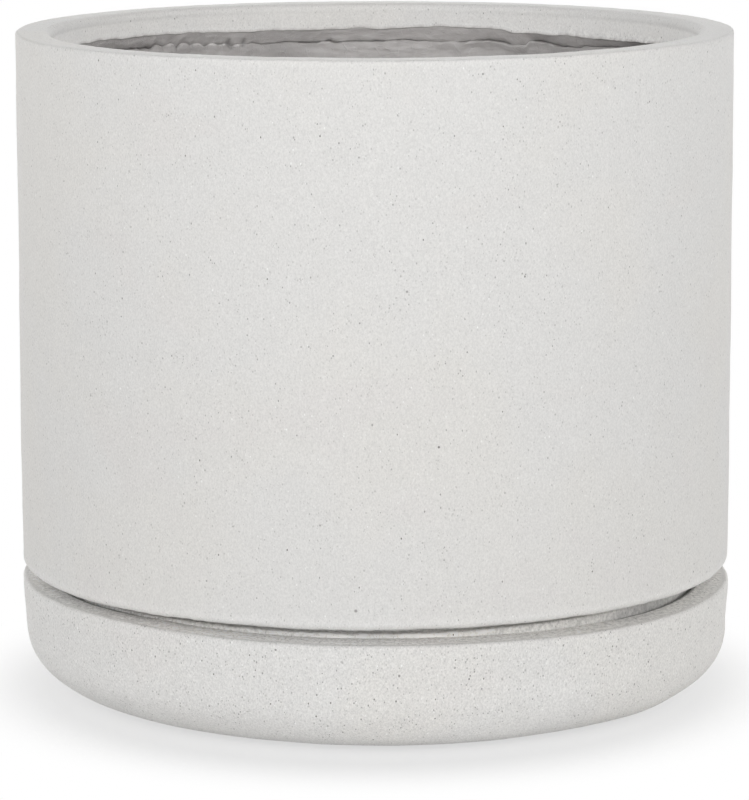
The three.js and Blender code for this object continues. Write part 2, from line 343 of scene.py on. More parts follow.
def pot_shape(radius, height, angle, zones):
    """Hand-made unevenness of the pot's stone face. Its outer wall moves by 0.6 mm at most."""
    x = np.cos(angle)
    wave = ripples(angle, height, POT_WAVES)
    outward = within(zones, "wall")
    outward = outward + within(zones, "rim") * ramp(radius, 184, 188)
    outward = outward + within(zones, "overhang") * ramp(radius, 180, 186)
    radius = radius + outward * np.clip(0.1 + wave, -0.6, 0.6)
    inward = within(zones, "lip") + within(zones, "rim") * (1 - ramp(radius, 172, 176))
    radius = radius + inward * (0.2 + wave)

    rim_dip = around(RIM_DIP, angle) + ripple(angle, 0, 60, 14) * 0.05 + ripple(angle, radius, 12, 15) * 0.03
    near_rim = within(zones, "rim") + within(zones, "wall", "lip") * ramp(height, 320, 348)
    height = height - near_rim * np.clip(rim_dip, 0, 3)

    lip = around(LIP_DEPTH, angle) + ripples(angle, 0, LIP_WAVES)
    lip_weight = within(zones, "lip_end") * ramp(WALL_INNER_RADIUS - radius, 0, 5)
    lip_weight = lip_weight + within(zones, "lip") * ramp(RIM_TOP - height, 3, 13)
    height = height - lip_weight * (lip - LIP_HEIGHT)

    edge_shift = OVERHANG_SLOPE * POT_RADIUS * x - 0.25 + ripples(angle, 0, OVERHANG_WAVES)
    low_wall = within(zones, "wall") * (1 - ramp(height, 72, 105))
    height = height + (within(zones, "overhang") * ramp(radius, 166, 180) + low_wall) * edge_shift

    shoulder = around(FOOT_SHOULDER, angle) - GROOVE_BOTTOM + ripple(angle, 0, 7, 20) * 0.12
    height = height + within(zones, "shoulder") * shoulder
    foot_wave = ripples(angle, height, FOOT_WAVES)
    radius = radius + within(zones, "foot", "shoulder") * ramp(height, 20, 34) * (foot_wave - 0.3)

    pitch = TAU / NOTCHES
    beside_notch = np.abs(np.mod(angle - math.radians(90) + pitch / 2, pitch) - pitch / 2) * NOTCH_RADIUS
    notch = 1 - ramp(beside_notch, NOTCH_HALF_WIDTH - 1.5, NOTCH_HALF_WIDTH + 1.5)
    notch = notch * (1 - ramp(height, 18.1, 30)) * (1 - ramp(height, 14, 22))
    height = height + within(zones, "foot") * notch * NOTCH_DEPTH

    return radius, height, pot_weights(radius, height, angle, zones, lip)


def pot_weights(radius, height, angle, zones, lip):
    """Painted light and shade on the stone, where it is rough, and where the lay-up's resin smears it."""
    lip_zone = within(zones, "lip", "lip_end")
    # The lip's end is ragged and sandy at the right of the back wall.
    ragged = 1 - ramp(np.degrees(angle), 50, 57)
    edge_noise = ripple(angle, height, 9, 24) * 0.2 + ripple(angle, height, 3, 25) * (0.05 + 0.3 * ragged)
    depth = RIM_TOP - height
    smear = lip_zone * ramp(depth - lip + edge_noise, -2.0, 0.3)
    # Painted light on the lip, most at both sides, and on the rim, most at the back and front.
    pale = lip_zone * (LIP_PAINTED_LIGHT + LIP_PAINTED_LIGHT_SIDES * np.cos(angle) ** 2)
    pale = pale + within(zones, "rim") * (0.01 + RIM_PAINTED_LIGHT * np.sin(angle) ** 2)
    # Painted light and shade on the wall: paler towards the top, darker towards the bottom, paler at both
    # sides.
    pale = pale + within(zones, "wall") * (0.03 * (height - 230) / 120 + 0.012 * np.cos(angle) ** 2)
    # Painted light on the foot, and painted shade on its sunk part and in the groove under the overhang.
    foot = within(zones, "foot", "shoulder") * ramp(height, 30, 50)
    sunk = foot * (1 - ramp(height, SAUCER_TOP - 3, SAUCER_TOP - 1.2)) * RECESS_PAINTED_SHADE
    groove = (within(zones, "overhang") * (1 - ramp(radius, 176, 186))
              + within(zones, "shoulder") * (1 - ramp(radius, 168.5, 170))) * RECESS_PAINTED_SHADE
    pale = pale + foot * around(FOOT_PAINTED_LIGHT, angle) - sunk - groove
    sandy = lip_zone * ragged * ramp(depth, 9, 13) * 0.5
    return {"smear": smear, "pale": pale, "rough": foot + sandy}


# How much darker the pot's lay-up is in places under the rim, by degrees round.
LAYUP_SHADE = [(35, -0.2), (53, -0.19), (63, -0.05), (75, 0.0), (97, 0.0), (105, -0.12), (112, -0.08),
               (120, 0.0), (130, 0.0), (142, -0.08), (170, 0.0)]

# The neck of the lay-up: it starts a little above the lip's end, and the crease is at its bottom. The mesh
# stays fine for some way below it.
NECK_LAP = 0.6
NECK_TOP = RIM_TOP - LIP_HEIGHT + NECK_LAP
NECK_HEIGHT = 5.1
NECK_RADIUS = RIM_INNER_RADIUS + 0.4
CREASE_RADIUS = 174.9
FINE_TO = 42

# Two tears in the mat and two painted glints beside them: degrees round and half width in degrees.
TEARS = [(118.4, 0.35), (115.3, 0.4)]
GLINTS = [(119.2, 0.25), (116.1, 0.25)]

CREASE_WAVES = [(14, 31, 0.2), (5, 32, 0.16)]
LAYUP_LUMPS = [(46, 34, 0.42, 1.6), (15, 35, 0.2, 2.2)]
LAYUP_STREAKS = [(6, 36, 0.11, 2.5), (2.6, 39, 0.04, 3)]
LAYUP_FLOOR_WAVES = [(38, 37, 0.3), (11, 38, 0.12)]


def lining_profile():
    """The pot's lay-up: plain against the shell, and inside a neck under the lip, a crease and a wall."""
    inset = GAP + LAMINATE
    neck_bottom = NECK_TOP - NECK_HEIGHT
    inner_wall = WALL_INNER_RADIUS - inset
    fine_bottom = neck_bottom - FINE_TO
    outer = list(reversed(pot_hollow(GAP, 16, "hidden")))
    inner = [point for point in pot_hollow(inset, 4, "inner") if point[1] < fine_bottom]
    outer_floor = POT_SHELL_FLOOR + GAP
    floor = outer_floor + LAMINATE
    return joined(
        [(FLANGE_SEAT_RADIUS, outer_floor, "hidden")],
        run((FLANGE_SEAT_RADIUS, outer_floor), (outer[0][0], outer_floor), 20, "hidden"),
        outer,
        [(CREASE_RADIUS + 2, NECK_TOP, "neck")],
        run((CREASE_RADIUS + 2, NECK_TOP), (NECK_RADIUS, NECK_TOP), 1.5, "neck"),
        [(NECK_RADIUS, NECK_TOP, "neck")],
        run((NECK_RADIUS, NECK_TOP), (CREASE_RADIUS, neck_bottom), 0.5, "neck"),
        [(CREASE_RADIUS, neck_bottom + 0.2, "neck"), (inner_wall, neck_bottom, "inner")],
        run((inner_wall, neck_bottom), (inner_wall, neck_bottom - 8), 0.45, "inner"),
        run((inner_wall, neck_bottom - 8), (inner_wall, fine_bottom), 1.0, "inner"),
        inner,
        run((inner[-1][0], floor), (FLANGE_SEAT_RADIUS, floor), 3, "floor"),
        arc(FLANGE_SEAT_RADIUS + 0.8, floor - 0.8, 0.8, 90, 180, 3, "seat"),
    )


def pleats(angle):
    """Puckers of the glass mat, about 10 mm wide, where it was tucked in at the left of the back wall."""
    place = np.degrees(angle)
    reach = ramp(place, 117, 120) * (1 - ramp(place, 134, 139))
    return reach * np.sqrt(np.abs(np.sin(57 * angle)))


def creased(angle, degrees, width):
    """1 at a tuck in the mat, fading over width degrees to both sides."""
    return np.exp(-((np.degrees(angle) - degrees) / width) ** 2)


def lining_shape(radius, height, angle, zones):
    """Brushed glass mat. Its neck follows the lip, and below the crease it bulges in, lumpy and streaked."""
    lip = around(LIP_DEPTH, angle)
    dark = np.clip(around(CREASE_DARK, angle) + ripple(angle, 0, 8, 30) * 0.12, 0.04, 1.1)
    crease = around(CREASE_DEPTH, angle) + ripples(angle, 0, CREASE_WAVES)
    tuck = pleats(angle)
    puckered = ramp(tuck, 0, 0.05)
    tears = sum(creased(angle, *tear) for tear in TEARS)
    crease = crease + 2.3 * (0.6 - tuck) * puckered
    neck = within(zones, "neck")
    inner = within(zones, "inner")

    down = NECK_TOP - height
    part = np.clip(down / NECK_HEIGHT, 0, 1)
    neck_start = lip - NECK_LAP
    depth_neck = neck_start + part * (crease - neck_start)
    below = np.clip(down - NECK_HEIGHT, 0, None)
    meets = RIM_TOP - NECK_TOP + NECK_HEIGHT
    depth_inner = crease + below + (meets - crease) * ramp(below, 6, FINE_TO)
    depth = np.where(neck > 0, depth_neck, np.where(inner > 0, depth_inner, RIM_TOP - height))

    lumps = ripples(angle, height, LAYUP_LUMPS)
    streaks = ripples(angle, height, LAYUP_STREAKS)
    proud = np.clip(3.1 + ripple(angle, 0, 28, 33) * 0.4, 2.2, 4.2)
    notch = np.clip(dark, 0, 1) * (1 - ramp(below, -0.4, 1.3))
    bulge = (1 - notch) * proud * (1 - 0.75 * ramp(below, 8, 34))
    pucker = puckered * (tuck - 0.3) * 1.3 * (1 - ramp(below, 2, 9))
    radius = radius - inner * (bulge + pucker + (lumps + streaks) * ramp(below, 0.3, 5) - 0.3)
    smooth = (1 - np.clip(dark, 0, 1)) * ramp(part, 0.1, 1) * -0.35
    cut = (np.clip(dark - 0.5, 0, 1) + tears) * ramp(part, 0.5, 1.0) * 0.8
    radius = radius + neck * (cut - smooth - (streaks + 0.25 * lumps) * ramp(part, 0.1, 0.5))

    floor_wave = ripples(angle, radius, LAYUP_FLOOR_WAVES)
    floor_weight = within(zones, "floor") * ramp(radius, FLANGE_SEAT_RADIUS + 1, FLANGE_SEAT_RADIUS + 14)
    height = RIM_TOP - depth + floor_weight * (floor_wave - 0.2)

    # Painted shade in the crease, in the tears and in the dips between the puckers.
    dips = (1 - tuck) * puckered
    near_crease = neck * ramp(part, 0.62, 1.0) + inner * (1 - ramp(below, 0.1, 1.0))
    torn = tears * (neck * ramp(part, 0.4, 0.6) + inner * (1 - ramp(below, 0.8, 2.0)))
    sunk = dips * (neck * ramp(part, 0.55, 0.9) + inner * (1 - ramp(below, 0.8, 3.0)))
    crease_shade = np.clip(near_crease * dark * 0.65 + torn + sunk * 0.6, 0, 1)
    # Painted highlights on the crests of the puckers and beside the tears, and painted light on the neck.
    crest = puckered * ramp(tuck, 0.6, 0.95) * inner * (1 - ramp(below, 0.3, 1.3))
    spots = sum(creased(angle, *glint) for glint in GLINTS) * inner * (1 - ramp(below, 0.5, 1.5))
    glint = np.clip(crest * ramp(np.degrees(angle), 119.5, 121) + spots, 0, 1)
    shade = (neck + inner) * around(LAYUP_SHADE, angle)
    return radius, height, {"crease_shade": crease_shade, "pale": neck * 0.19 + glint * 0.5 + shade}


# ---------------- saucer

SAUCER_SLOPE = -0.009
SAUCER_LIP_EDGE = 2.0
# Painted light: how much paler than its wall the saucer's rim is, by degrees round.
SAUCER_RIM_PAINTED_LIGHT = [(190, 0.3), (205, 0.2), (224, 0.22), (240, 0.32), (270, 0.24), (303, 0.26), (318, 0.14),
                    (332, 0.19), (350, 0.2), (20, 0.0), (160, 0.1)]
# The pot stands a little off centre, so that the crevice round its foot is open at both sides of the front.
CREVICE = [(20, 1.8), (90, 1.8), (160, 1.8), (196, 3.0), (206, 3.6), (215, 3.6), (222, 2.4), (229, 0.9),
           (236, 0.4), (300, 0.4), (309, 0.6), (316, 1.6), (324, 2.7), (336, 2.7), (350, 2.3)]
# How far the saucer's rounded base stands outside a plain arc, at its lowest part and at its middle.
BASE_SPREAD = [(190, -1.5), (205, -3.0), (220, -3.2), (237, -2.3), (252, -1.2), (263, 0.5), (275, 1.6),
               (290, 1.6), (300, 0.4), (310, 0.6), (322, 1.8), (335, -0.8), (350, 0.0), (90, 0.0),
               (160, -0.5)]
BASE_FULLER = [(180, -0.2), (200, -0.4), (215, -0.2), (235, 0.1), (250, 0.3), (270, 0.7), (300, 1.0),
               (320, 1.3), (335, 1.2), (350, 0.9), (20, 0.8), (90, 0.5), (150, 0.0)]
# The even crevice of the solids, which CREVICE replaces, and how much painted shade darkens its inner edge
# where open.
CREVICE_WIDTH = 1.8
CREVICE_PAINTED_SHADE = 0.75

SAUCER_WAVES = [(110, 41, 0.16), (30, 42, 0.06), (8, 43, 0.02)]
CREVICE_WAVES = [(50, 46, 0.08), (9, 47, 0.05)]
SAUCER_LAYUP_LUMPS = [(34, 51, 0.3, 1.6), (9, 52, 0.12, 2)]
SAUCER_LAYUP_FLOOR_WAVES = [(40, 53, 0.2), (12, 54, 0.07)]


def saucer_hollow(inset, zone, steps):
    """The saucer's inside from under its lip to the flat floor, as the solids have it."""
    wall = SAUCER_WAIST_RADIUS - SAUCER_WALL
    flat = SAUCER_WAIST_RADIUS - SAUCER_ROUNDING
    round_top = SAUCER_BOTTOM + SAUCER_ROUNDING
    top = SAUCER_TOP - SAUCER_LIP_DEPTH - inset
    return joined(
        [(wall - inset, top, zone)],
        run((wall - inset, top), (wall - inset, round_top), 3, zone),
        arc(flat, round_top, SAUCER_ROUNDING - SAUCER_WALL - inset, 0, -90, steps, zone),
    )


def saucer_profile():
    """The saucer's stone, from the middle out under the base, up outside, over the rim and down inside."""
    flat = SAUCER_WAIST_RADIUS - SAUCER_ROUNDING
    round_top = SAUCER_BOTTOM + SAUCER_ROUNDING
    wall_top = SAUCER_TOP - SAUCER_EDGE
    lip_bottom = SAUCER_TOP - SAUCER_LIP_DEPTH
    inner = SAUCER_RIM_INNER_RADIUS
    inner_top = inner + SAUCER_INNER_EDGE
    shell_floor = SAUCER_BOTTOM + SAUCER_WALL
    return joined(
        [(6, SAUCER_BOTTOM, "hidden")],
        run((6, SAUCER_BOTTOM), (flat, SAUCER_BOTTOM), 10, "hidden"),
        arc(flat, round_top, SAUCER_ROUNDING, -90, 0, 26, "round"),
        run((SAUCER_WAIST_RADIUS, round_top), (SAUCER_RADIUS, SAUCER_FLARE_TOP), 1.8, "wall"),
        run((SAUCER_RADIUS, SAUCER_FLARE_TOP), (SAUCER_RADIUS, wall_top), 1.2, "wall"),
        arc(SAUCER_RADIUS - SAUCER_EDGE, wall_top, SAUCER_EDGE, 0, 90, 6, "rim"),
        run((SAUCER_RADIUS - SAUCER_EDGE, SAUCER_TOP), (inner_top, SAUCER_TOP), 1.5, "rim"),
        arc(inner_top, SAUCER_TOP - SAUCER_INNER_EDGE, SAUCER_INNER_EDGE, 90, 180, 5, "rim_inner"),
        run((inner, SAUCER_TOP - SAUCER_INNER_EDGE), (inner, lip_bottom + SAUCER_LIP_EDGE), 1.6, "lip"),
        arc(inner + SAUCER_LIP_EDGE, lip_bottom + SAUCER_LIP_EDGE, SAUCER_LIP_EDGE, 180, 270, 4, "lip"),
        saucer_hollow(0, "hidden", 8),
        run((flat, shell_floor), (6, shell_floor), 14, "hidden"),
    )


def saucer_shape(radius, height, angle, zones):
    """The saucer's rim falls a little to the right, and its base edge is rounder on the left."""
    x = np.cos(angle)
    wave = ripples(angle, height, SAUCER_WAVES)
    outward = within(zones, "wall") + within(zones, "round") * ramp(height, 4, 16)
    outward = outward + within(zones, "rim") * ramp(radius, SAUCER_RADIUS - 4, SAUCER_RADIUS - 1)
    base = within(zones, "round") * np.sin(np.pi * np.clip((height - SAUCER_BOTTOM) / 34, 0, 1))
    radius = radius - outward * np.clip(0.35 - wave, 0, 1) + base * around(BASE_FULLER, angle)
    lowest = within(zones, "round") * (1 - ramp(height, 2, 22))
    radius = radius + lowest * around(BASE_SPREAD, angle)
    height = height - base * (0.3 + 0.45 * x)

    tilt = SAUCER_SLOPE * SAUCER_RADIUS * x
    upper = within(zones, "wall") * ramp(height, 34, 57) + within(zones, "rim", "rim_inner")
    upper = upper + within(zones, "lip")
    unevenness = ripple(angle, 0, 130, 44) * 0.18 + ripple(angle, radius, 13, 45) * 0.045
    height = height + upper * (tilt + unevenness - 0.1)
    inner = within(zones, "rim_inner", "lip")
    crevice = around(CREVICE, angle) - CREVICE_WIDTH + ripples(angle, 0, CREVICE_WAVES)
    radius = radius + inner * crevice
    radius = radius + within(zones, "rim") * (1 - ramp(radius, 174.5, 184)) * crevice
    # Painted light on the rim's top and the base's low rounding, painted shade on the open crevice's edge.
    top = within(zones, "rim", "rim_inner") * ramp(SAUCER_RADIUS - radius, 1.5, 5)
    open_here = ramp(crevice, -0.8, 0.3)
    pale = top * around(SAUCER_RIM_PAINTED_LIGHT, angle) - inner * open_here * CREVICE_PAINTED_SHADE
    pale = pale + within(zones, "round") * (1 - ramp(height, 5, 26)) * 0.06
    return radius, height, {"smear": 0 * radius, "pale": pale, "rough": top}


def saucer_lining_profile():
    """The saucer's lay-up, plain against the shell and finer inside."""
    inset = GAP + LAMINATE
    outer_floor = SAUCER_BOTTOM + SAUCER_WALL + GAP
    floor = outer_floor + LAMINATE
    outer = list(reversed(saucer_hollow(GAP, "hidden", 8)))
    inner = saucer_hollow(inset, "inner", 16)
    flat = SAUCER_WAIST_RADIUS - SAUCER_ROUNDING
    return joined(
        [(6, outer_floor, "hidden")],
        run((6, outer_floor), (flat, outer_floor), 14, "hidden"),
        outer,
        inner,
        run((flat, floor), (6, floor), 3, "floor"),
    )


def saucer_lining_shape(radius, height, angle, zones):
    """Glass mat, a little lumpy."""
    relief = ripples(angle, height, SAUCER_LAYUP_LUMPS)
    radius = radius - within(zones, "inner") * (relief + 0.1)
    wave = ripples(angle, radius, SAUCER_LAYUP_FLOOR_WAVES)
    height = height + within(zones, "floor") * (ramp(radius, 8, 30) * wave - 0.25)
    return radius, height, {"crease_shade": 0 * radius, "pale": 0 * radius}


# ---------------- small pieces

def plug_profile():
    """A moulded stopper: tapered shank with two sealing ribs, a sunk flange and a dished top with a nub."""
    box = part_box("drain_plug")
    tip = box[0].z / MM
    top = box[1].z / MM
    seat = POT_SHELL_FLOOR + GAP
    flange = 16.0
    shank = DRAIN_RADIUS - GAP
    return joined(
        [(3, tip, "plug")],
        arc(8.2, tip + 1.2, 1.2, -90, 0, 4, "plug"),
        [(9.7, tip + 3.4, "plug"), (10.3, tip + 4.0, "plug"), (9.9, tip + 4.7, "plug")],
        [(10.1, tip + 7.0, "plug"), (10.6, tip + 7.6, "plug"), (10.2, tip + 8.3, "plug")],
        arc(shank - 0.8, seat - 0.8, 0.8, 0, 60, 3, "plug"),
        [(shank - 0.2, seat, "plug"), (flange - 0.6, seat, "plug")],
        arc(flange - 0.6, seat + 0.6, 0.6, -90, 0, 3, "plug"),
        arc(flange - 1.2, top - 1.2, 1.2, 0, 90, 5, "plug"),
        arc(10.4, top - 0.5, 0.5, 90, 180, 3, "plug"),
        arc(8.7, top - 0.7, 0.5, 0, -90, 3, "plug"),
        run((8.7, top - 1.2), (4.4, top - 1.2), 1.5, "plug"),
        arc(4.4, top - 0.9, 0.3, 270, 180, 3, "plug"),
        arc(3.6, top - 0.8, 0.5, 0, 90, 3, "plug"),
        [(1.5, top - 0.3, "plug")],
    )


def pad_profile(thickness):
    """A felt disc with a soft edge."""
    radius = 12.5
    edge = 0.6
    return joined(
        [(3, 0, "pad")],
        run((3, 0), (radius - edge, 0), 2.5, "pad"),
        arc(radius - edge, edge, edge, -90, 0, 4, "pad"),
        arc(radius - edge, thickness - edge, edge, 0, 90, 4, "pad"),
        run((radius - edge, thickness), (3, thickness), 2.5, "pad"),
        [(3, thickness, "pad")],
    )


def plain_shape(radius, height, angle, zones):
    """A moulded or cut piece, which stays as its profile has it."""
    return radius, height, {}


# ---------------- materials

class Nodes:
    """Short names for the node calls that the materials and the world below share."""

    def __init__(self, name="", tree=None):
        if tree is None:
            self.material = bpy.data.materials.new(name)
            self.material.use_nodes = True
            tree = self.material.node_tree
            self.shader = tree.nodes["Principled BSDF"]
            self.place = tree.nodes.new("ShaderNodeTexCoord").outputs["Object"]
        self.tree = tree

    def add(self, kind, **settings):
        node = self.tree.nodes.new(kind)
        for key, value in settings.items():
            setattr(node, key, value)
        return node

    def link(self, source, target):
        self.tree.links.new(source, target)

    def set_input(self, node, name, value):
        socket = node.inputs[name]
        if isinstance(value, bpy.types.NodeSocket):
            self.link(value, socket)
        else:
            socket.default_value = value

    def math(self, operation, first, second=0.0, clamp=False):
        node = self.add("ShaderNodeMath", operation=operation, use_clamp=clamp)
        self.set_input(node, 0, first)
        self.set_input(node, 1, second)
        return node.outputs[0]

    def weight(self, name):
        """A weight that the mesh's points carry."""
        return self.add("ShaderNodeAttribute", attribute_name=name).outputs["Fac"]

    def mapped_place(self, place, **settings):
        node = self.add("ShaderNodeMapping")
        self.link(place, node.inputs["Vector"])
        for name, value in settings.items():
            node.inputs[name].default_value = value
        return node.outputs[0]

    def turned(self, place):
        """The same place in axes turned askew, so that no lattice lines up with the walls."""
        return self.mapped_place(place, Rotation=(0.5, 0.9, 0.3))

    def scaled_place(self, scale):
        return self.mapped_place(self.place, Scale=scale)

    def noise(self, size, detail=2.0, roughness=0.5, place=None):
        """Noise whose features are about size metres across."""
        node = self.add("ShaderNodeTexNoise")
        self.link(place or self.place, node.inputs["Vector"])
        node.inputs["Scale"].default_value = 1 / size
        node.inputs["Detail"].default_value = detail
        node.inputs["Roughness"].default_value = roughness
        return node.outputs["Fac"]

    def spots(self, cell, place=None):
        """Voronoi cells about cell metres across: the distance from each one's point, and its colour."""
        node = self.add("ShaderNodeTexVoronoi")
        self.link(place or self.place, node.inputs["Vector"])
        node.inputs["Scale"].default_value = 1 / cell
        return self.math("MULTIPLY", node.outputs["Distance"], cell), node.outputs["Color"]

    def mapped(self, kind, value, start, end, low, high):
        node = self.add("ShaderNodeMapRange", interpolation_type=kind)
        self.set_input(node, "Value", value)
        node.inputs["From Min"].default_value = start
        node.inputs["From Max"].default_value = end
        node.inputs["To Min"].default_value = low
        node.inputs["To Max"].default_value = high
        return node.outputs[0]

    def fade(self, value, start, end, low=0.0, high=1.0):
        """value mapped smoothly from start..end to low..high."""
        return self.mapped("SMOOTHSTEP", value, start, end, low, high)

    def slope(self, value, start, end, low, high):
        """value mapped in a straight line from start..end to low..high, and held at its ends."""
        return self.mapped("LINEAR", value, start, end, low, high)

    def channel(self, colour, name):
        node = self.add("ShaderNodeSeparateColor")
        self.link(colour, node.inputs[0])
        return node.outputs[name]

    def mix(self, factor, first, second, blend="MIX"):
        node = self.add("ShaderNodeMix", data_type="RGBA", blend_type=blend)
        self.set_input(node, "Factor", factor)
        for number, value in ((6, first), (7, second)):
            if isinstance(value, bpy.types.NodeSocket):
                self.link(value, node.inputs[number])
            else:
                node.inputs[number].default_value = (*value, 1)
        return node.outputs[2]

    def brightened(self, colour, factor):
        """colour made factor times as bright."""
        grey = self.add("ShaderNodeCombineColor")
        for channel in ("Red", "Green", "Blue"):
            self.link(factor, grey.inputs[channel])
        return self.mix(1.0, colour, grey.outputs[0], "MULTIPLY")

    def bump(self, height, distance, strength):
        node = self.add("ShaderNodeBump")
        self.link(height, node.inputs["Height"])
        node.inputs["Distance"].default_value = distance
        node.inputs["Strength"].default_value = strength
        return node.outputs[0]


# Kinds of speck: size of the cell that holds one and radius of the largest, in metres, and strength.
FINE_SPECKS = (0.00115, 0.00050, 0.132)
COARSE_SPECKS = (0.0036, 0.00070, 0.062)
PITS = (0.014, 0.00080, 0.2)
PALE_GRAINS = (0.00135, 0.00050, 0.2)


def specks(nodes, kind, contrast, patches=1.0):
    """How strongly each speck of one kind tints the surface. Faint ones are common, strong ones rare."""
    cell, size, depth = kind
    distance, colour = nodes.spots(cell, nodes.turned(nodes.scaled_place((1.0, 1.0, 0.65))))
    radius = nodes.slope(nodes.channel(colour, "Red"), 0.0, 1.0, size * 0.5, size)
    dot = nodes.fade(nodes.math("SUBTRACT", radius, distance), 0.0, size * 0.5)
    rarity = nodes.math("LOGARITHM", nodes.channel(colour, "Green"), math.e)
    strength = nodes.math("MULTIPLY", rarity, nodes.math("MULTIPLY", patches, -depth * contrast))
    return nodes.math("MULTIPLY", dot, strength, clamp=True)


STONE = (0.745, 0.738, 0.724)
STONE_WARM = (0.750, 0.738, 0.715)
STONE_PINK = (0.742, 0.726, 0.710)
SPECK = (0.20, 0.19, 0.18)
GRAIN = (0.92, 0.92, 0.905)
GRAIN_CONTRAST = 0.084
MOTTLE_CONTRAST = 0.008
BLOTCH_CONTRAST = 0.17

# Pinholes that stand out in the photograph: degrees round, height, radius in millimetres, darkness.
POT_MARKS = [(267, 77.8, 1.2, 0.7), (243.5, 89, 0.7, 0.6), (279.5, 160, 0.9, 1.0), (274.7, 238, 0.9, 0.7),
             (246, 230, 0.7, 0.5), (233, 171, 0.7, 0.5), (248, 118, 0.7, 0.5), (277, 112, 0.7, 0.5),
             (292, 340, 0.7, 0.5), (309, 334, 0.8, 0.5), (289.5, 266, 0.6, 0.5), (285.5, 263, 0.6, 0.4)]
SAUCER_MARKS = [(253, 32.5, 1.3, 0.6), (273.5, 44.6, 0.9, 0.8), (285, 52.3, 0.8, 0.6),
                (291, 38.6, 0.8, 0.5), (284, 36, 1.1, 0.5), (247.5, 58.5, 0.9, 0.6), (236.6, 50, 0.9, 0.5),
                (242.5, 31.5, 0.9, 0.5)]


def pinhole(nodes, degrees, height, radius, darkness):
    """How much one named pinhole darkens the surface, here."""
    turn = math.radians(degrees)
    centre = (POT_RADIUS * MM * math.cos(turn), POT_RADIUS * MM * math.sin(turn), height * MM)
    reach = nodes.add("ShaderNodeVectorMath", operation="DISTANCE")
    nodes.link(nodes.place, reach.inputs[0])
    reach.inputs[1].default_value = centre
    return nodes.fade(reach.outputs["Value"], radius * MM * 0.3, radius * MM, darkness, 0.0)


def stone_material(name, contrast, marks):
    """Matt cast stone face: cloudy colour, fine sand grain, dark specks, pinholes and pale grains, with
    painted light and shade.
    """
    nodes = Nodes(name)
    cloud = nodes.fade(nodes.noise(0.11, 3.0), 0.42, 0.62)
    pink = nodes.fade(nodes.noise(0.075, 2.0, place=nodes.scaled_place((1.0, 1.0, 1.7))), 0.56, 0.70)
    colour = nodes.mix(cloud, STONE, STONE_WARM)
    colour = nodes.mix(nodes.math("MULTIPLY", pink, 0.7), colour, STONE_PINK)

    grain = nodes.noise(0.0009, 3.0, 0.7, place=nodes.scaled_place((1.0, 1.0, 0.7)))
    sway = GRAIN_CONTRAST * contrast
    shade = nodes.fade(grain, 0.25, 0.75, 1 - sway, 1 + sway)
    sway = MOTTLE_CONTRAST * contrast
    mottle = nodes.fade(nodes.noise(0.012, 3.0), 0.3, 0.7, 1 - sway, 1 + sway)
    colour = nodes.brightened(colour, nodes.math("MULTIPLY", shade, mottle))

    patches = nodes.fade(nodes.noise(0.014, 2.0), 0.36, 0.66, 0.6, 1.4)
    fine = specks(nodes, FINE_SPECKS, contrast ** 1.5, patches)
    coarse = specks(nodes, COARSE_SPECKS, contrast, patches)
    pits = specks(nodes, PITS, contrast)
    dark = nodes.math("MAXIMUM", nodes.math("MAXIMUM", fine, coarse), pits)
    for mark in marks:
        dark = nodes.math("MAXIMUM", dark, pinhole(nodes, *mark))
    colour = nodes.mix(dark, colour, SPECK)
    pale = specks(nodes, PALE_GRAINS, contrast)
    colour = nodes.mix(pale, colour, GRAIN)
    blotches = nodes.fade(nodes.noise(0.0024, 3.0, 0.6), 0.3, 0.7, -BLOTCH_CONTRAST, BLOTCH_CONTRAST)
    roughened = nodes.math("ADD", nodes.math("MULTIPLY", blotches, nodes.weight("rough")), 1.0)
    colour = nodes.brightened(colour, roughened)
    # Painted light and shade, from the pale weight.
    colour = nodes.brightened(colour, nodes.math("ADD", nodes.weight("pale"), 1.0))
    colour = nodes.mix(nodes.math("MULTIPLY", nodes.weight("smear"), 0.75), colour, LAYUP)
    nodes.link(colour, nodes.shader.inputs["Base Color"])

    sand = nodes.math("MULTIPLY", grain, 0.5)
    relief = nodes.math("SUBTRACT", sand, nodes.math("MULTIPLY", dark, 1.2))
    nodes.link(nodes.bump(relief, 0.00022 * contrast, 0.6), nodes.shader.inputs["Normal"])
    nodes.link(nodes.fade(mottle, 0.98, 1.02, 0.82, 0.92), nodes.shader.inputs["Roughness"])
    nodes.shader.inputs["Specular IOR Level"].default_value = 0.3
    return nodes.material


LAYUP = (0.46, 0.44, 0.432)
LAYUP_PALE = (0.53, 0.512, 0.503)
LAYUP_DARK = (0.35, 0.335, 0.328)
# The colour of the painted shade in the lay-up's creases and tears.
LAYUP_CREASE_SHADE = (0.24, 0.228, 0.222)
FIBRE = (0.62, 0.61, 0.60)


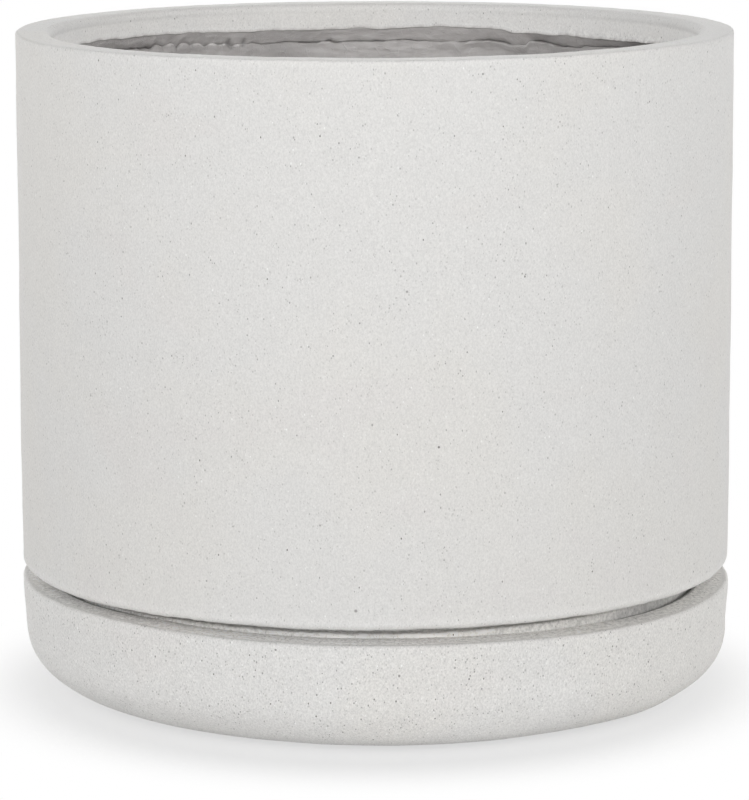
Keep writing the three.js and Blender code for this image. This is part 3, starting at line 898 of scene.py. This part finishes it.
def laminate_material(name):
    """Brushed resin over chopped glass mat: streaks drawn out sideways, loose fibres, painted light and
    shade.
    """
    nodes = Nodes(name)
    streak_place = nodes.scaled_place((1.0, 1.0, 3.2))
    streaks = nodes.noise(0.011, 4.0, 0.6, place=streak_place)
    clouds = nodes.noise(0.045, 2.0)
    colour = nodes.mix(nodes.fade(streaks, 0.38, 0.66), LAYUP, LAYUP_PALE)
    colour = nodes.mix(nodes.fade(clouds, 0.52, 0.72, 0.0, 0.6), colour, LAYUP_DARK)
    fibres = fibre_lines(nodes)
    colour = nodes.mix(nodes.math("MULTIPLY", fibres, 0.22), colour, FIBRE)
    # Painted light on the neck, painted highlights at crests and glints, and the darker places under the
    # rim.
    colour = nodes.brightened(colour, nodes.math("ADD", nodes.weight("pale"), 1.0))
    # Painted shade in the creases and tears.
    colour = nodes.mix(nodes.math("MULTIPLY", nodes.weight("crease_shade"), 0.8), colour, LAYUP_CREASE_SHADE)
    nodes.link(colour, nodes.shader.inputs["Base Color"])
    relief = nodes.math("ADD", streaks, nodes.math("MULTIPLY", fibres, 0.25))
    nodes.link(nodes.bump(relief, 0.0009, 0.7), nodes.shader.inputs["Normal"])
    nodes.link(nodes.fade(clouds, 0.3, 0.7, 0.5, 0.72), nodes.shader.inputs["Roughness"])
    return nodes.material


def fibre_lines(nodes):
    """Fine glass strands running several ways, where thin bands of warped noise cross a middle value."""
    total = None
    for tilt in (0.5, 2.1, 3.7):
        turn = (tilt, tilt * 0.7, tilt * 1.3)
        place = nodes.mapped_place(nodes.place, Rotation=turn, Scale=(1.0, 9.0, 1.0))
        band = nodes.noise(0.016, 1.0, place=place)
        strand = nodes.fade(nodes.math("ABSOLUTE", nodes.math("SUBTRACT", band, 0.5)), 0.0, 0.012, 1.0, 0.0)
        total = strand if total is None else nodes.math("MAXIMUM", total, strand)
    return total


RUBBER = (0.021, 0.021, 0.022)
RUBBER_WORN = (0.05, 0.049, 0.047)
FELT = (0.12, 0.118, 0.113)
FELT_PALE = (0.2, 0.197, 0.19)


def rubber_material(name):
    """Matt black moulded rubber, a little worn."""
    nodes = Nodes(name)
    wear = nodes.noise(0.004, 3.0)
    colour = nodes.mix(nodes.fade(wear, 0.45, 0.75), RUBBER, RUBBER_WORN)
    nodes.link(colour, nodes.shader.inputs["Base Color"])
    nodes.link(nodes.bump(nodes.noise(0.0008, 2.0), 0.00006, 0.5), nodes.shader.inputs["Normal"])
    nodes.link(nodes.fade(wear, 0.3, 0.7, 0.5, 0.7), nodes.shader.inputs["Roughness"])
    return nodes.material


def felt_material(name):
    """Grey pressed felt."""
    nodes = Nodes(name)
    fluff = nodes.noise(0.0009, 4.0, 0.7)
    colour = nodes.mix(nodes.fade(fluff, 0.35, 0.65), FELT, FELT_PALE)
    nodes.link(colour, nodes.shader.inputs["Base Color"])
    nodes.link(nodes.bump(fluff, 0.0002, 0.8), nodes.shader.inputs["Normal"])
    nodes.shader.inputs["Roughness"].default_value = 0.95
    nodes.shader.inputs["Sheen Weight"].default_value = 0.3
    return nodes.material


# ---------------- pieces on their bodies

SAUCER_CONTRAST = 1.6


def dress(piece, material, body, slot, *stands_for):
    """Give a piece its material and its body, and hide the solids that it replaces. Its slot is not used."""
    piece.data.materials.append(material)
    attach(piece, body)
    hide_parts(*stands_for)


def make_pieces():
    pot_stone = stone_material("pot_stone", 1.0, POT_MARKS)
    saucer_stone = stone_material("saucer_stone", SAUCER_CONTRAST, SAUCER_MARKS)
    layup = laminate_material("glass_layup")
    rubber = rubber_material("plug_rubber")
    felt = felt_material("pad_felt")

    pot = skin("pot_face", pot_profile(), 600, pot_shape)
    dress(pot, pot_stone, "pot", "stone_finish", "pot_shell")
    lining = skin("pot_layup", lining_profile(), 840, lining_shape)
    dress(lining, layup, "pot", "fiberglass_layup", "pot_laminate")
    saucer = skin("saucer_face", saucer_profile(), 600, saucer_shape, on_axis=True)
    dress(saucer, saucer_stone, "saucer", "stone_finish", "saucer_shell")
    saucer_lining = skin("saucer_layup", saucer_lining_profile(), 360, saucer_lining_shape, on_axis=True)
    dress(saucer_lining, layup, "saucer", "fiberglass_layup", "saucer_laminate")
    plug = skin("rubber_plug", plug_profile(), 96, plain_shape, on_axis=True)
    dress(plug, rubber, "plug", "plug_rubber", "drain_plug")

    for node in PAD_NODES:
        low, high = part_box(node)
        pad = skin("felt_" + node, pad_profile(high.z / MM), 72, plain_shape, on_axis=True)
        pad.data.transform(Matrix.Translation(((low.x + high.x) / 2, (low.y + high.y) / 2, 0)))
        dress(pad, felt, "saucer", "pad_felt", node)


# ---------------- camera, floor and light

def make_camera():
    """The photograph's camera."""
    data = bpy.data.cameras.new("camera")
    data.sensor_fit = "HORIZONTAL"
    data.sensor_width = SENSOR_WIDTH
    data.lens = FOCAL_PIXELS * SENSOR_WIDTH / IMAGE_WIDTH
    data.clip_end = 200
    camera = bpy.data.objects.new("camera", data)
    aim = Euler((math.pi / 2 - CAMERA_TILT, 0, 0)).to_matrix() @ Matrix.Rotation(CAMERA_ROLL, 3, "Z")
    camera.matrix_world = Matrix.Translation((CAMERA_OFFSET, -CAMERA_DISTANCE, CAMERA_HEIGHT)) @ aim.to_4x4()
    bpy.context.scene.collection.objects.link(camera)
    bpy.context.scene.camera = camera


# The floor, in metres and parts of white: a painted shadow near the planter and white away from it, with
# FLOOR_SHARE of what is seen left to the real light and shadow.
FLOOR_HALF_SIZE = 60.0
FLOOR_DROP = 0.0002
FLOOR_PALE = 0.92
FLOOR_SHARE = 0.25
FLOOR_GLOW = 0.84
FLOOR_CONTACT = 0.12
FLOOR_SHADE_FROM = 0.178
FLOOR_SHADE_TO = 0.245
FLOOR_SHADE = 0.75
FLOOR_WHITE_FROM = 0.182
FLOOR_WHITE_TO = 0.245
FLOOR_FRONT = 0.93


def background_rays(tree):
    """1 for the rays that see the background directly, in gloss or through glass, and 0 for the light's."""
    path = tree.nodes.new("ShaderNodeLightPath")
    total = path.outputs["Is Camera Ray"]
    for name in ("Is Glossy Ray", "Is Transmission Ray"):
        add = tree.nodes.new("ShaderNodeMath")
        add.operation = "MAXIMUM"
        tree.links.new(total, add.inputs[0])
        tree.links.new(path.outputs[name], add.inputs[1])
        total = add.outputs[0]
    return total


def floor_material():
    """A pale floor with a painted soft shadow round the planter, which reads as white away from it."""
    nodes = Nodes("studio_floor")
    tree = nodes.tree
    tree.nodes.remove(nodes.shader)
    plain = nodes.add("ShaderNodeBsdfDiffuse")
    plain.inputs["Color"].default_value = (FLOOR_PALE, FLOOR_PALE, FLOOR_PALE, 1)
    seen = nodes.add("ShaderNodeBsdfDiffuse")
    seen.inputs["Color"].default_value = (FLOOR_SHARE, FLOOR_SHARE, FLOOR_SHARE, 1)
    length = nodes.add("ShaderNodeVectorMath", operation="LENGTH")
    nodes.link(nodes.scaled_place((1.0, FLOOR_FRONT, 1.0)), length.inputs[0])
    distance = length.outputs["Value"]
    # Painted shadow: the glow falls off towards the planter and a little more where occlusion finds it
    # close.
    shade = nodes.slope(distance, FLOOR_SHADE_FROM, FLOOR_SHADE_TO, FLOOR_SHADE * FLOOR_GLOW, FLOOR_GLOW)
    contact = nodes.add("ShaderNodeAmbientOcclusion", samples=16)
    contact.inputs["Distance"].default_value = FLOOR_CONTACT
    touch = nodes.slope(contact.outputs["AO"], 0.0, 0.25, 0.97, 1.0)
    glow = nodes.add("ShaderNodeEmission")
    nodes.link(nodes.math("MULTIPLY", shade, touch), glow.inputs["Strength"])
    near = nodes.add("ShaderNodeAddShader")
    nodes.link(seen.outputs[0], near.inputs[0])
    nodes.link(glow.outputs[0], near.inputs[1])
    white = nodes.add("ShaderNodeEmission")
    white.inputs["Strength"].default_value = 1.0
    away = nodes.fade(distance, FLOOR_WHITE_FROM, FLOOR_WHITE_TO)
    shown = nodes.add("ShaderNodeMixShader")
    nodes.link(away, shown.inputs[0])
    nodes.link(near.outputs[0], shown.inputs[1])
    nodes.link(white.outputs[0], shown.inputs[2])
    final = nodes.add("ShaderNodeMixShader")
    nodes.link(background_rays(tree), final.inputs[0])
    nodes.link(plain.outputs[0], final.inputs[1])
    nodes.link(shown.outputs[0], final.inputs[2])
    nodes.link(final.outputs[0], tree.nodes["Material Output"].inputs["Surface"])
    return nodes.material


def make_floor():
    half = FLOOR_HALF_SIZE
    corners = [(-half, -half, 0), (half, -half, 0), (half, half, 0), (-half, half, 0)]
    mesh = bpy.data.meshes.new("floor")
    mesh.from_pydata(corners, [], [(0, 1, 2, 3)])
    floor = bpy.data.objects.new("floor", mesh)
    floor.location.z = -FLOOR_DROP
    bpy.context.scene.collection.objects.link(floor)
    mesh.materials.append(floor_material())


# The ring of light: strength, how much more comes from front, back and right, and height as a sine.
RING_LIGHT = 1.88
RING_FRONT = 2.05
RING_BACK = 2.6
RING_RIGHT = 0.025
RING_LOW = 0.08
RING_MIDDLE = 0.33
RING_HIGH = 0.60


def ring_strength(nodes):
    """A ring of light round the planter, 5 to 37 degrees above the floor, stronger in front and behind."""
    axes = nodes.add("ShaderNodeSeparateXYZ")
    nodes.link(nodes.add("ShaderNodeTexCoord").outputs["Generated"], axes.inputs[0])
    right, back, up = axes.outputs
    rise = nodes.slope(up, RING_LOW, RING_MIDDLE, 0.0, 1.0)
    fall = nodes.slope(up, RING_MIDDLE, RING_HIGH, 1.0, 0.0)
    level = nodes.math("SQRT", nodes.math("SUBTRACT", 1.0, nodes.math("MULTIPLY", up, up)))
    toward = nodes.math("DIVIDE", back, level)
    squared = nodes.math("MULTIPLY", toward, toward)
    behind = nodes.math("GREATER_THAN", toward, 0.0)
    extra = nodes.math("ADD", nodes.math("MULTIPLY", behind, RING_BACK - RING_FRONT), RING_FRONT)
    around_it = nodes.math("ADD", nodes.math("MULTIPLY", squared, extra), 1.0)
    sided = nodes.math("ADD", nodes.math("MULTIPLY", right, RING_RIGHT), 1.0)
    band = nodes.math("MULTIPLY", nodes.math("MULTIPLY", rise, fall), RING_LIGHT)
    return nodes.math("MULTIPLY", band, nodes.math("MULTIPLY", around_it, sided))


def make_world():
    """The ring of light for the surfaces, and plain white for whatever sees the background."""
    world = bpy.data.worlds.new("studio")
    bpy.context.scene.world = world
    world.use_nodes = True
    nodes = Nodes(tree=world.node_tree)
    tree = nodes.tree
    light = tree.nodes["Background"]
    light.inputs["Color"].default_value = (1, 1, 1, 1)
    nodes.link(ring_strength(nodes), light.inputs["Strength"])
    white = nodes.add("ShaderNodeBackground")
    white.inputs["Color"].default_value = (1, 1, 1, 1)
    white.inputs["Strength"].default_value = 1.0
    mix = nodes.add("ShaderNodeMixShader")
    nodes.link(background_rays(tree), mix.inputs[0])
    nodes.link(light.outputs[0], mix.inputs[1])
    nodes.link(white.outputs[0], mix.inputs[2])
    nodes.link(mix.outputs[0], tree.nodes["World Output"].inputs["Surface"])


make_camera()
make_pieces()
make_floor()
make_world()
bpy.context.scene.view_settings.view_transform = "Standard"
